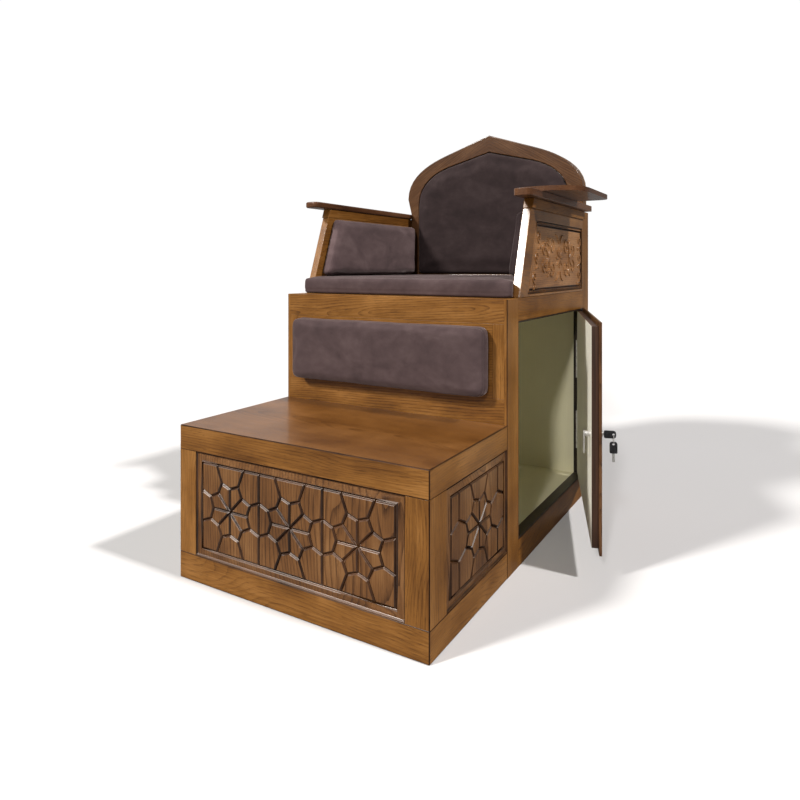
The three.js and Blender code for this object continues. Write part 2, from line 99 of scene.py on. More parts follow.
class Graph(Nodes):
    """A Principled material and calls for its usual nodes."""

    def __init__(self, name):
        self.material = bpy.data.materials.new(name)
        self.material.use_nodes = True
        super().__init__(self.material.node_tree)
        self.shader = self.tree.nodes["Principled BSDF"]
        coords = self.node("TexCoord")
        self.place = coords.outputs["Object"]
        self.normal = coords.outputs["Normal"]

    def mapping(self, vector, location=(0, 0, 0), rotation=(0, 0, 0), scale=(1, 1, 1)):
        inputs = {"Vector": vector, "Location": location, "Rotation": rotation, "Scale": scale}
        return self.node("Mapping", inputs).outputs[0]

    def noise(self, vector, scale, detail=2.0, roughness=0.5, distortion=0.0):
        """Even noise, or noise stretched along an axis where scale has three numbers."""
        if isinstance(scale, tuple):
            vector = self.mapping(vector, scale=scale)
            scale = 1.0
        inputs = {
            "Vector": vector,
            "Scale": scale,
            "Detail": detail,
            "Roughness": roughness,
            "Distortion": distortion,
        }
        return self.node("TexNoise", inputs).outputs["Fac"]

    def spread(self, value, low, high, out_low=0.0, out_high=1.0):
        inputs = {
            "Value": value,
            "From Min": low,
            "From Max": high,
            "To Min": out_low,
            "To Max": out_high,
        }
        return self.node("MapRange", inputs).outputs[0]

    def ramp(self, value, low, middle, high):
        """Colour that runs from low through middle to high."""
        made = self.node("ValToRGB", {"Fac": value})
        stops = made.color_ramp.elements
        stops.new(0.5)
        for stop, colour in zip(stops, (low, middle, high)):
            stop.color = (*colour, 1.0)
        return made.outputs["Color"]

    def mix(self, fac, a, b):
        made = self.node("Mix", {0: fac}, data_type="RGBA")
        for socket, value in ((made.inputs[6], a), (made.inputs[7], b)):
            self.put(socket, (*value, 1.0) if isinstance(value, tuple) else value)
        return made.outputs[2]

    def bump(self, height, distance, strength):
        made = self.node("Bump", {"Height": height, "Distance": distance, "Strength": strength})
        self.put(self.shader.inputs["Normal"], made.outputs[0])

    def finish(self, **values):
        """Sets the shader's sockets and gives the material."""
        for key, value in values.items():
            self.put(self.shader.inputs[key.replace("_", " ")], value)
        return self.material


# ---------------------------------------------------------------- camera and lights
LENS = 29.01
LENS_SHIFT = -0.166
CAMERA_PLACE = (1.003, FRONT - 1.1667, 0.8193)
CAMERA_TURN = math.radians(30.92)

# Lamps: where each shines from, its strength, its apparent width in degrees, its colour.
LAMPS = {
    "key_left": ((-0.41, -0.69, 0.60), 3.2, 7.0, (1.0, 0.97, 0.92)),
    "key_front": ((0.14, -0.85, 0.51), 1.0, 4.0, (1.0, 0.98, 0.96)),
    "key_right": ((0.75, 0.02, 0.80), 2.6, 4.0, (1.0, 0.96, 0.93)),
}

# Soft lights that only reflections see: where from, how tight and how bright.
GLOWS = (
    ((-0.68, 0.70, 0.2), 3.0, 0.6),
    ((-0.26, -0.05, 0.96), 10.0, 3.0),
    ((-0.34, -0.72, 0.60), 50.0, 12.0),
)

# How bright the surroundings are as light, in reflections and to the eye.
WORLD_LIGHT = 0.12
WORLD_GLOSS = 0.08
BACKDROP = 1.02


def make_camera():
    """Level camera, with the frame shifted down to hold the whole object."""
    data = bpy.data.cameras.new("camera")
    data.sensor_width = 36.0
    data.lens = LENS
    data.shift_y = LENS_SHIFT
    data.clip_start = 0.05
    camera = bpy.data.objects.new("camera", data)
    camera.location = CAMERA_PLACE
    camera.rotation_euler = (math.pi / 2, 0, CAMERA_TURN)
    SCENE.collection.objects.link(camera)
    SCENE.camera = camera


def make_lamps():
    """Distant lamps, one for each row of LAMPS."""
    for name, (direction, strength, width, colour) in LAMPS.items():
        data = bpy.data.lights.new(name, "SUN")
        data.energy = strength
        data.angle = math.radians(width)
        data.color = colour
        lamp = bpy.data.objects.new(name, data)
        lamp.rotation_euler = Vector(direction).to_track_quat("Z", "Y").to_euler()
        SCENE.collection.objects.link(lamp)


def make_world():
    """White surroundings that light the object less than they show and shine."""
    world = bpy.data.worlds.new("studio")
    world.use_nodes = True
    g = Nodes(world.node_tree)
    where = g.node("TexCoord").outputs["Generated"]
    rays = g.node("LightPath").outputs
    shine = WORLD_GLOSS
    for direction, tightness, brightness in GLOWS:
        facing = g.math("MAXIMUM", g.dot(where, direction), 0.0)
        shine = g.math("MULTIPLY_ADD", g.math("POWER", facing, tightness), brightness, shine)
    glossy = g.math("MULTIPLY", rays["Is Glossy Ray"], g.math("SUBTRACT", shine, WORLD_LIGHT))
    seen = g.math("MULTIPLY", rays["Is Camera Ray"], BACKDROP - WORLD_LIGHT)
    background = g.tree.nodes["Background"]
    g.put(background.inputs["Color"], (1.0, 1.0, 1.0, 1.0))
    g.put(background.inputs["Strength"], g.math("ADD", g.math("ADD", glossy, seen), WORLD_LIGHT))
    SCENE.world = world
    SCENE.view_settings.view_transform = "Standard"


# ---------------------------------------------------------------------- wood grain
# Dark, middle and light tone of each stain.
STAIN = {
    "wood": ((0.070, 0.023, 0.003), (0.205, 0.084, 0.015), (0.325, 0.150, 0.038)),
    "carved_wood": ((0.044, 0.016, 0.005), (0.148, 0.063, 0.019), (0.260, 0.128, 0.046)),
    # The next stain, for the arms' outer panels, is the frame's wood made lighter as painted light.
    "painted_light_arm_wood": ((0.115, 0.046, 0.015), (0.315, 0.148, 0.054), (0.445, 0.235, 0.102)),
    # The next stain, for the step's top, is darker as painted shade, against the lamps that light the
    # top more than the sides.
    "painted_shade_step_wood": ((0.046, 0.014, 0.002), (0.132, 0.050, 0.009), (0.222, 0.095, 0.025)),
    "back_wood": ((0.026, 0.009, 0.003), (0.086, 0.036, 0.013), (0.160, 0.077, 0.032)),
    "glossy_wood": ((0.034, 0.012, 0.005), (0.100, 0.040, 0.016), (0.170, 0.078, 0.036)),
    "plain_wood": ((0.100, 0.050, 0.022), (0.190, 0.103, 0.050), (0.270, 0.160, 0.085)),
}

# How often a feature repeats in a metre: along the grain, then across it.
SWAY = (1.9, 6.0, 6.0)
FIBRE = (9.0, 330.0, 330.0)
PORES = (55.0, 1000.0, 1000.0)
STREAKS = (2.2, 14.0, 14.0)
CLOUDS = 8.0

# Rings get longer along the grain by this much, as they do along a trunk.
TRUNK = (0.10, 1.0, 1.0)
ARCH_SLOPE = math.radians(-32)
TURN = {
    "X": (0, 0, 0),
    "Y": (0, 0, -math.pi / 2),
    "Z": (0, math.pi / 2, 0),
    "arch": (0, 0, 0),
}


def board_space(g, axis, seed, heart, centre):
    """Coordinates with x along the grain and the tree's heart at y = z = 0.

    seed picks another board. heart is how far off the board's centre, across the grain,
    the tree's heart lies: near gives arched figure and far gives straight lines. The
    axis "arch" runs the grain down both sides of a pointed arch.
    """
    arched = heart < 0.1
    slide = 0.0 if arched else 0.01 * (seed * 3 % 7)
    tilt = 0.06 if arched else 0.012
    spot = g.mapping(g.place, location=[-c for c in centre])
    if axis == "arch":
        x, y, z = g.node("SeparateXYZ", {0: spot}).outputs
        folded = g.node("CombineXYZ", {"X": g.math("ABSOLUTE", x), "Y": y, "Z": z})
        spot = g.mapping(folded.outputs[0], rotation=(0, ARCH_SLOPE, 0))
    along = g.mapping(spot, rotation=TURN[axis])
    place = (0.37 * seed % 1.7, heart + slide, heart - slide)
    return g.mapping(along, location=place, rotation=(0.0, tilt, 0.6 * tilt))


def growth_rings(g, board, ring):
    """Growth rings that wander a little; the higher ring is, the closer they lie."""
    drift = g.noise(board, SWAY, 2.0)
    sway = g.node("CombineXYZ", {"Y": g.spread(drift, 0.2, 0.8, -0.035, 0.035)}).outputs[0]
    swayed = g.node("VectorMath", {0: board, 1: sway}, operation="ADD").outputs[0]
    inputs = {
        "Vector": g.mapping(swayed, scale=TRUNK),
        "Scale": ring,
        "Distortion": 2.2,
        "Detail": 3.0,
        "Detail Scale": 0.7,
        "Detail Roughness": 0.6,
    }
    shape = {"wave_type": "RINGS", "rings_direction": "X", "wave_profile": "SAW"}
    return g.node("TexWave", inputs, **shape).outputs["Fac"]


def wood(
    name, stain, axis, seed, gloss=0.38, ring=64.0, coat=0.12, figure=0.5, heart=0.22, node=None
):
    """Open-grained, stained and lacquered wood.

    gloss is the roughness of its lacquer, figure how strongly the rings show, and heart is
    measured from the node's centre, or from the origin where no node is named.
    """
    g = Graph(name)
    dark, middle, light = STAIN[stain]
    centre = sum(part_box(node), Vector()) / 2 if node else Vector()
    board = board_space(g, axis, seed, heart, centre)
    rings = growth_rings(g, board, ring)
    fibre = g.noise(board, FIBRE, 3.0, 0.65)
    pores = g.noise(board, PORES, 1.0)
    streaks = g.noise(board, STREAKS, 3.0, 0.6)
    clouds = g.noise(board, CLOUDS, 2.0)

    tone = g.math("MULTIPLY_ADD", g.spread(rings, 0.55, 1.0), -0.30 * figure, 0.56)
    for feature, depth in ((fibre, 0.17), (clouds, 0.18), (streaks, 0.23)):
        tone = g.math("ADD", tone, g.spread(feature, 0.3, 0.7, -depth, depth))

    vein = g.math("MULTIPLY", g.spread(rings, 0.80, 0.97), g.spread(fibre, 0.62, 0.42, 0.1, 1.0))
    vein = g.math("MULTIPLY", vein, figure)
    pore = g.math("MULTIPLY", g.spread(pores, 0.55, 0.66), g.spread(rings, 0.25, 0.9, 0.15, 0.8))
    cut = g.math("MAXIMUM", vein, pore)
    cut_colour = tuple(0.42 * c for c in dark)
    g.bump(g.math("MULTIPLY_ADD", cut, -1.0, g.math("MULTIPLY", fibre, 0.35)), 0.0003, 0.5)
    return g.finish(
        Base_Color=g.mix(g.math("MULTIPLY", cut, 0.72), g.ramp(tone, dark, middle, light), cut_colour),
        Roughness=g.spread(fibre, 0.2, 0.8, gloss - 0.06, gloss + 0.1),
        Specular_IOR_Level=0.22,
        Coat_Weight=coat,
        Coat_Roughness=0.14,
        Coat_IOR=1.5,
    )


# ----------------------------------------------------------------- other materials
WARM = (1.0, 0.88, 0.80, 1.0)
# Dark and light tone of the stain in the grooves and eased corners, which also stands in for the shade
# in them.
STAIN_AND_SHADE = ((0.018, 0.007, 0.003), (0.080, 0.034, 0.012))
NAP = ((0.050, 0.034, 0.035), (0.076, 0.051, 0.052), (0.108, 0.076, 0.076))


def arris(name, shine, depth=1.0):
    """Dark stain in the eased corners and the grooves, which also paints the shade that falls in them;
    depth dims its colours further, as painted shade in the groove beds.
    """
    g = Graph(name)
    wear = g.noise(g.place, (9.0, 9.0, 9.0), 4.0, 0.65)
    low, high = (tuple(depth * c for c in tint) for tint in STAIN_AND_SHADE)
    g.bump(wear, 0.0004, 0.4)
    return g.finish(
        Base_Color=g.mix(g.spread(wear, 0.38, 0.66), low, high),
        Roughness=g.spread(wear, 0.3, 0.7, 0.34, 0.46),
        Specular_IOR_Level=shine,
        Specular_Tint=WARM,
        Coat_Weight=shine,
        Coat_Tint=WARM,
        Coat_Roughness=0.3,
    )


def velvet(name, painted_light):
    """Short-pile velvet with brushed patches; its second argument scales the colours as painted light:
    lighter above one, and darker below one as painted shade.
    """
    g = Graph(name)
    patches = g.noise(g.place, (7.0, 7.0, 10.0), 3.0, 0.55, 0.8)
    strokes = g.noise(g.place, (34.0, 24.0, 40.0), 3.0, 0.6)
    pile = g.noise(g.place, 1300.0, 1.0)
    tone = g.math("ADD", g.spread(patches, 0.32, 0.68, 0.0, 0.62), g.spread(strokes, 0.3, 0.7, 0.0, 0.3))
    tone = g.math("ADD", tone, g.spread(pile, 0.3, 0.7, -0.14, 0.14))
    g.bump(pile, 0.0005, 0.5)
    return g.finish(
        Base_Color=g.ramp(tone, *(tuple(painted_light * c for c in colour) for colour in NAP)),
        Roughness=0.9,
        Sheen_Weight=0.25 + 0.3 * painted_light,
        Sheen_Roughness=0.32,
        Sheen_Tint=(0.90, 0.78, 0.75, 1.0),
        Specular_IOR_Level=0.12,
    )


def paint(name, colour):
    """Smooth brushed paint with faint unevenness."""
    g = Graph(name)
    cloud = g.noise(g.place, 3.0, 3.0)
    brush = g.noise(g.place, (260.0, 260.0, 9.0), 2.0)
    tone = g.math("ADD", g.spread(cloud, 0.3, 0.7, 0.0, 0.8), g.spread(brush, 0.3, 0.7, 0.0, 0.2))
    g.bump(brush, 0.0002, 0.3)
    return g.finish(
        Base_Color=g.mix(tone, tuple(0.86 * c for c in colour), colour),
        Roughness=g.spread(brush, 0.2, 0.8, 0.45, 0.58),
    )


def door_core_paint():
    """Cream on the inner face, dark brown lacquer on the edges and the outer face."""
    g = Graph("door_core")
    inward = (-math.cos(DOOR_REST), -math.sin(DOOR_REST), 0.0)
    is_inner_face = g.spread(g.dot(g.normal, inward), 0.6, 0.8)
    brush = g.noise(g.place, (200.0, 200.0, 8.0), 2.0)
    cream = g.mix(g.spread(brush, 0.3, 0.7), (0.84, 0.83, 0.72), (0.92, 0.91, 0.82))
    fibre = g.noise(g.place, (240.0, 240.0, 6.0), 3.0)
    edge = g.mix(g.spread(fibre, 0.3, 0.7), (0.022, 0.009, 0.004), (0.060, 0.024, 0.010))
    g.bump(brush, 0.0002, 0.3)
    return g.finish(
        Base_Color=g.mix(is_inner_face, edge, cream),
        Roughness=g.spread(brush, 0.2, 0.8, 0.4, 0.52),
    )


def dark_edge():
    """Near-black stain of the rebate round the cabinet's opening."""
    g = Graph("dark_edge")
    fibre = g.noise(g.place, (160.0, 30.0, 30.0), 3.0)
    g.bump(fibre, 0.0003, 0.4)
    return g.finish(
        Base_Color=g.mix(g.spread(fibre, 0.3, 0.7), (0.006, 0.004, 0.003), (0.026, 0.014, 0.008)),
        Roughness=0.45,
    )


def metal(name, dull, bright, metallic):
    """Brushed plated metal with faint tarnish."""
    g = Graph(name)
    brushed = g.noise(g.place, (600.0, 600.0, 60.0), 2.0)
    tarnish = g.noise(g.place, 90.0, 3.0)
    g.bump(brushed, 0.00005, 0.5)
    return g.finish(
        Base_Color=g.mix(g.spread(tarnish, 0.3, 0.7), dull, bright),
        Metallic=metallic,
        Roughness=g.spread(brushed, 0.2, 0.8, 0.22, 0.4),
    )


def plastic():
    """Black moulded plastic with fine texture and scuffs."""
    g = Graph("key_plastic")
    texture = g.noise(g.place, 1600.0, 1.0)
    scuff = g.noise(g.place, 160.0, 3.0)
    g.bump(texture, 0.00006, 0.5)
    return g.finish(
        Base_Color=g.mix(g.spread(scuff, 0.45, 0.75), (0.010, 0.010, 0.012), (0.035, 0.035, 0.038)),
        Roughness=g.spread(scuff, 0.3, 0.7, 0.32, 0.5),
    )


# How far the floor is darkened in reflections, and as a source of light for the object.
FLOOR_GLOSS = 0.75
FLOOR_BOUNCE = 0.35


def floor_paint():
    """Pale matt floor."""
    g = Graph("studio_floor")
    cloud = g.noise(g.place, 0.8, 2.0)
    pale = g.mix(g.spread(cloud, 0.3, 0.7), (0.73, 0.73, 0.74), (0.75, 0.75, 0.76))
    rays = g.node("LightPath").outputs
    less = g.math("MULTIPLY", rays["Is Glossy Ray"], FLOOR_GLOSS)
    less = g.math("MULTIPLY_ADD", rays["Is Diffuse Ray"], FLOOR_BOUNCE, less)
    return g.finish(
        Base_Color=g.mix(less, pale, (0.0, 0.0, 0.0)),
        Roughness=0.7,
        Specular_IOR_Level=0.0,
    )


# ------------------------------------------------------------------- piece helpers
def new_object(name, mesh):
    """Object that holds mesh data, linked to the scene."""
    obj = bpy.data.objects.new(name, mesh)
    SCENE.collection.objects.link(obj)
    return obj


def mesh_data(name, mesh):
    """Turns a bmesh into mesh data and frees it."""
    data = bpy.data.meshes.new(name)
    mesh.to_mesh(data)
    mesh.free()
    return data


def evaluated(obj):
    """Mesh of an object with its modifiers applied."""
    graph = bpy.context.evaluated_depsgraph_get()
    graph.update()
    return bpy.data.meshes.new_from_object(obj.evaluated_get(graph))


def merge_facets(obj):
    """Welds a CAD solid's faces together and drops the lines across its flat ones."""
    weld = obj.modifiers.new("weld", "WELD")
    weld.merge_threshold = 0.02 * MM
    flat = obj.modifiers.new("flat", "DECIMATE")
    flat.decimate_type = "DISSOLVE"
    flat.angle_limit = math.radians(1.0)


def bevel(obj, name, width, segments, limit="ANGLE", angle=38):
    """Eases edges sharper than an angle, or those of a vertex group; width is in millimetres."""
    ease = obj.modifiers.new(name, "BEVEL")
    ease.width = width * MM
    ease.segments = segments
    ease.limit_method = limit
    ease.angle_limit = math.radians(angle)
    ease.use_clamp_overlap = True
    return ease


def settle_normals(obj):
    """Smooth shading over the eased edges that leaves the broad faces flat."""
    for face in obj.data.polygons:
        face.use_smooth = True
    even = obj.modifiers.new("normals", "WEIGHTED_NORMAL")
    even.weight = 100


def finish_piece(obj, slot, materials, *replaced):
    """Gives a piece of the chair its materials, hangs it on the chair's body and hides the CAD nodes
    that it stands in for.
    """
    if obj.data.materials:
        obj.data.materials.clear()
    for material in materials:
        obj.data.materials.append(material)
    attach(obj, ROOT)
    if replaced:
        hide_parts(*replaced)


# ------------------------------------------------------------------- carved panels
# The drawings lie in u and v, in millimetres, and w points at the viewer.
GROOVE = 8.4
GROOVE_BED = 2.4
GROOVE_DEPTH = 4.0
PANEL_BACK = 12.0
SAME_POINT = 0.05

# The stars: their pitch, their rays' length and the tips of the zigzag round them.
FRONT_PITCH = 194.0
SIDE_PITCH = 224.0
SIDE_STRETCH = 1.1
RAY = 57.5
PETAL = 73.0
EIGHTH = math.radians(45)
PETAL_TURN = EIGHTH / 2

PANEL_LOW, PANEL_HIGH = span("step_front_panel", 2)
PANEL_MID = (PANEL_LOW + PANEL_HIGH) / 2
BAND = 23.0


def rectangle(u0, u1, v0, v1):
    """Corners of a rectangle, anticlockwise from its lowest."""
    return [(u0, v0), (u1, v0), (u1, v1), (u0, v1)]


def pairs(ring):
    """Each point of a closed ring with the next one."""
    return list(zip(ring, ring[1:] + ring[:1]))


def inset_outline(points, distance):
    """Moves every side of a convex outline inwards by the same distance."""
    result = []
    for i, point in enumerate(points):
        here = Vector(point)
        a = (here - Vector(points[i - 1])).normalized()
        b = (Vector(points[(i + 1) % len(points)]) - here).normalized()
        normal_a = Vector((-a.y, a.x))
        normal_b = Vector((-b.y, b.x))
        bisector = (normal_a + normal_b).normalized()
        result.append(tuple(here + bisector * (distance / bisector.dot(normal_a))))
    return result


def rosette(centre, pitch, stretch, field):
    """Grooves of one star: eight rays, the zigzag ring and the spokes to its cell's edge."""
    cu, cv = centre
    (left, low), (right, high) = field[0], field[2]

    def spot(radius, turn):
        return (cu + stretch * radius * math.cos(turn), cv + radius * math.sin(turn))

    inner = [spot(RAY, EIGHTH * k) for k in range(8)]
    outer = [spot(PETAL, EIGHTH * k + PETAL_TURN) for k in range(8)]
    half = pitch / 2
    near = cu - half if cu - half > left + GROOVE else left
    far = cu + half if cu + half < right - GROOVE else right
    junction = half * math.tan(PETAL_TURN)
    run = stretch * (high - low) / 2 * math.tan(PETAL_TURN)
    ends = [
        (far, cv + junction),
        (cu + run, high),
        (cu - run, high),
        (near, cv + junction),
        (near, cv - junction),
        (cu - run, low),
        (cu + run, low),
        (far, cv - junction),
    ]
    lines = []
    for k in range(8):
        lines.append((centre, inner[k]))
        lines.append((inner[k], outer[k]))
        lines.append((outer[k], inner[(k + 1) % 8]))
        lines.append((outer[k], ends[k]))
    return lines, junction


def front_lines(field):
    """Three stars side by side with a full-height groove between neighbours."""
    low, high = field[0][1], field[2][1]
    lines = []
    for k in (-1, 0, 1):
        star, junction = rosette((k * FRONT_PITCH, PANEL_MID), FRONT_PITCH, 1.0, field)
        lines += star
    stops = [low, PANEL_MID - junction, PANEL_MID + junction, high]
    for u in (-FRONT_PITCH / 2, FRONT_PITCH / 2):
        lines += [((u, a), (u, b)) for a, b in zip(stops, stops[1:])]
    return lines


def side_lines(field):
    """One wider star; beyond it the neighbours' spokes run out at the border."""
    (near, low), (far, high) = field[0], field[2]
    middle = (near + far) / 2
    lines, junction = rosette((middle, PANEL_MID), SIDE_PITCH, SIDE_STRETCH, field)
    for side, edge in ((-1, near), (1, far)):
        u = middle + side * SIDE_PITCH / 2
        fall = abs(edge - u) * math.tan(PETAL_TURN)
        for turn, stop in ((-1, low), (1, high)):
            knot = (u, PANEL_MID + turn * junction)
            lines.append((knot, (u, stop)))
            lines.append((knot, (edge, knot[1] - turn * fall)))
    return lines


def drawing(outline, field, lines):
    """Points and edges of two rings and the lines between them; points that meet are one."""
    points = []
    edges = []

    def number(spot):
        for i, known in enumerate(points):
            if abs(known[0] - spot[0]) < SAME_POINT and abs(known[1] - spot[1]) < SAME_POINT:
                return i
        points.append(spot)
        return len(points) - 1

    for a, b in pairs(outline) + pairs(field) + lines:
        start, end = number(a), number(b)
        if start != end and (start, end) not in edges and (end, start) not in edges:
            edges.append((start, end))
    return [Vector(p) for p in points], edges


def within(face, field):
    """True where a face's middle lies inside a convex anticlockwise outline."""
    middle = face.calc_center_median().to_2d()
    sides = [(Vector(p), Vector(q)) for p, q in pairs(field)]
    return all((q - p).cross(middle - p) >= 0 for p, q in sides)


def flat_cells(outline, field, lines):
    """Flat mesh with one face for each cell of the drawing and a band of faces round them."""
    points, edges = drawing(outline, field, lines)
    verts, all_edges, faces, _, sources, _ = geometry.delaunay_2d_cdt(points, edges, [], 1, 0.02)
    mesh = bmesh.new()
    made = [mesh.verts.new((v.x, v.y, 0.0)) for v in verts]
    for face in faces:
        mesh.faces.new([made[i] for i in face])
    mesh.verts.index_update()
    bmesh.ops.recalc_face_normals(mesh, faces=mesh.faces)
    if sum(f.normal.z * f.calc_area() for f in mesh.faces) < 0:
        bmesh.ops.reverse_faces(mesh, faces=mesh.faces)
    drawn = {frozenset(pair) for pair, source in zip(all_edges, sources) if source}
    spare = [
        e
        for e in mesh.edges
        if frozenset(v.index for v in e.verts) not in drawn
        and all(within(f, field) for f in e.link_faces)
    ]
    bmesh.ops.dissolve_edges(mesh, edges=spare)
    return mesh


def carved_mesh(name, outline, field, lines, sunk=0.0):
    """Panel with a groove along every line and round its edge; sunk lowers its cells."""
    mesh = flat_cells(outline, field, lines)
    cells = [f for f in mesh.faces if within(f, field)]
    band = [f for f in mesh.faces if not within(f, field)]

    def inset(wide, material_index):
        made = bmesh.ops.inset_individual(mesh, faces=cells, thickness=wide, use_even_offset=True)
        ring = bmesh.ops.inset_region(
            mesh, faces=band, thickness=wide, use_even_offset=True, use_boundary=True
        )
        for face in made["faces"] + ring["faces"]:
            face.material_index = material_index

    inset(GROOVE_BED / 2, 2)
    bed = list(mesh.verts)
    inset((GROOVE - GROOVE_BED) / 2, 1)
    for v in bed:
        v.co.z = -GROOVE_DEPTH
    for v in {v for face in cells for v in face.verts}:
        v.co.z = -sunk
    grown = bmesh.ops.extrude_edge_only(mesh, edges=[e for e in mesh.edges if e.is_boundary])
    for v in grown["geom"]:
        if isinstance(v, bmesh.types.BMVert):
            v.co.z = -PANEL_BACK
    bmesh.ops.holes_fill(mesh, edges=[e for e in mesh.edges if e.is_boundary], sides=0)
    bmesh.ops.recalc_face_normals(mesh, faces=mesh.faces)
    return mesh_data(name, mesh)


def place_panel(name, mesh, materials, plane, *replaced):
    """Puts a panel in its plane: the images of the u, v and w axes and of the origin."""
    *axes, origin = plane
    turn = Matrix(axes).transposed().to_4x4()
    mesh.transform(Matrix.Translation(origin) @ turn @ Matrix.Scale(MM, 4))
    if turn.determinant() < 0:
        mesh.flip_normals()
    obj = new_object(name, mesh)
    finish_piece(obj, "carved_wood", materials, *replaced)
    bevel(obj, "ease", 0.6, 2, angle=20)


def front_plane():
    """Plane of the step's front panel: u to the right and v up."""
    return (1, 0, 0), (0, 0, 1), (0, -1, 0), (0, FRONT + SET_BACK * MM, 0)


def side_plane(side):
    """Plane of the panels on the right side, 1, or the left, -1: u to the rear and v up."""
    return (0, 1, 0), (0, 0, 1), (side, 0, 0), (side * (HALF - SET_BACK) * MM, FRONT, 0)


def make_step_panels():
    """Three carved panels; grooves shine on their flanks, and their beds are painted dark as the shade
    at a groove's bottom.
    """
    look = {"gloss": 0.36, "ring": 38.0, "coat": 0.25, "figure": 0.95, "heart": 0.33}
    boards = [wood("carved_%d" % i, "carved_wood", "Z", 11 + i, **look) for i in range(3)]
    # The beds are painted darker, as the shade at the bottom of each groove.
    bed = arris("groove_bed_shade", 0.0, 0.45)
    front_grooves = (arris("groove", 0.8), bed)
    side_grooves = (arris("side_groove", 0.3), bed)
    outer = rectangle(*span("step_front_panel", 0), PANEL_LOW, PANEL_HIGH)
    field = inset_outline(outer, BAND)
    mesh = carved_mesh("front_carving", outer, field, front_lines(field))
    materials = (boards[0], *front_grooves)
    place_panel("front_carving", mesh, materials, front_plane(), "step_front_panel")
    outer = rectangle(*span("step_side_panel_R", 1), PANEL_LOW, PANEL_HIGH)
    field = inset_outline(outer, BAND)
    for side, label, board in ((1, "R", boards[1]), (-1, "L", boards[2])):
        name = "side_carving_" + label
        mesh = carved_mesh(name, outer, field, side_lines(field))
        materials = (board, *side_grooves)
        place_panel(name, mesh, materials, side_plane(side), "step_side_panel_" + label)


# ---------------------------------------------------------------------- arm panels
# The arm's slanted front: its depth at the cabinet's top, its lean, and its stile.
ARM_FRONT = 523
ARM_LEAN = 0.355
ARM_STILE = 62.6
ARM_LOW, ARM_HIGH = span("arm_panel_R", 2)
ARM_END = span("arm_panel_R", 1)[1]
ARM_SUNK = 3.0
ARM_BAND = 12.0

# The raised strokes: their top and foot from the panel's plane, and their widths.
STROKE_TOP = 0.3
STROKE_FOOT = -ARM_SUNK - 1.0
STEM_WIDTH = 7.5
CURL_WIDTH = 6.5
LEAF_WIDTH = 8.5

# The pattern's centre, and each scroll's radius and its hub's way across and up from there.
MIDDLE, LEVEL = 893.0, 850.0
INNER_SCROLL, INNER_ACROSS, INNER_UP = 30.0, 74, 34
OUTER_SCROLL, OUTER_ACROSS, OUTER_UP = 24.0, 150, 30

# The leaves of an inner scroll: their angle in degrees and their length.
LEAVES = ((62, 30), (110, 26), (20, 30))

# The columns at the ends: scroll radius, pitch, and the way in from the panel's edges.
END_SCROLL = 19.0
COLUMN_PITCH = 60.0
FRONT_COLUMN = 47.4
REAR_COLUMN = 33.7


def panel_front(z):
    """Front edge of the arm's panel at a height."""
    return ARM_FRONT + ARM_STILE + (z - CABINET_TOP) * ARM_LEAN


def spiral(centre, radius, start, turns, hand, count=22):
    """Points on a spiral that winds in from its radius to a small eye."""
    points = []
    for i in range(count):
        t = i / (count - 1)
        angle = math.radians(start) + hand * 2 * math.pi * turns * t
        r = radius * (1 - 0.86 * t)
        points.append((centre[0] + r * math.cos(angle), centre[1] + r * math.sin(angle)))
    return points


def bow(start, end, sag, count=9):
    """Points on a shallow arc from start to end."""
    a, b = Vector(start), Vector(end)
    across = Vector((a.y - b.y, b.x - a.x)).normalized()
    points = []
    for i in range(count):
        t = i / (count - 1)
        points.append(tuple(a.lerp(b, t) + across * (4 * sag * t * (1 - t))))
    return points


def ridge(mesh, points, width, blunt=0.25):
    """One raised stroke, widest in the middle, as a closed strip with sloping flanks."""
    count = len(points)
    section = ((-1.0, STROKE_FOOT), (-0.6, STROKE_TOP), (0.6, STROKE_TOP), (1.0, STROKE_FOOT))
    rings = []
    for i, point in enumerate(points):
        along = Vector(points[min(count - 1, i + 1)]) - Vector(points[max(0, i - 1)])
        across = Vector((-along.y, along.x)).normalized()
        half = width / 2 * (blunt + (1 - blunt) * math.sin(math.pi * (i + 0.4) / (count - 0.2)))
        here = Vector(point)
        rings.append(
            [mesh.verts.new((*(here + across * (half * side)), height)) for side, height in section]
        )
    for first, second in zip(rings, rings[1:]):
        for k in range(4):
            mesh.faces.new((first[k], second[k], second[(k + 1) % 4], first[(k + 1) % 4]))
    mesh.faces.new(rings[0])
    mesh.faces.new(rings[-1][::-1])


def flower(mesh, petals=8, eye=5, reach=34, width=11):
    """Ring of petals at the middle of the panel."""
    for k in range(petals):
        angle = 2 * math.pi * k / petals
        ray = Vector((math.cos(angle), math.sin(angle)))
        centre = Vector((MIDDLE, LEVEL))
        ridge(mesh, bow(centre + eye * ray, centre + reach * ray, 1.5), width)


def scrolls(mesh, side, turn):
    """One quarter of the pattern: two scrolls on a stem, three leaves and a tail."""
    hand = side * turn
    hub = (MIDDLE + side * INNER_ACROSS, LEVEL + turn * INNER_UP)
    stem = (hub[0] + side * INNER_SCROLL, hub[1])
    outer = (MIDDLE + side * OUTER_ACROSS, LEVEL - turn * OUTER_UP)
    eye = (outer[0] - side * 2, outer[1])
    ridge(mesh, spiral(hub, INNER_SCROLL, 90 - 90 * side, 1.35, hand), STEM_WIDTH)
    ridge(mesh, bow(stem, outer, -hand * 15, 12), STEM_WIDTH, 0.5)
    ridge(mesh, spiral(eye, OUTER_SCROLL, 90 * turn, 1.2, -hand), CURL_WIDTH)
    for angle, length in LEAVES:
        tip = math.radians(angle)
        end = (stem[0] + side * length * math.cos(tip), stem[1] + turn * length * math.sin(tip))
        ridge(mesh, bow(stem, end, 4 * hand), LEAF_WIDTH)
    root = (MIDDLE + side * 8, LEVEL + turn * 44)
    tail = (MIDDLE + side * 40, LEVEL + turn * 74)
    ridge(mesh, bow(root, tail, 8 * hand), 8)


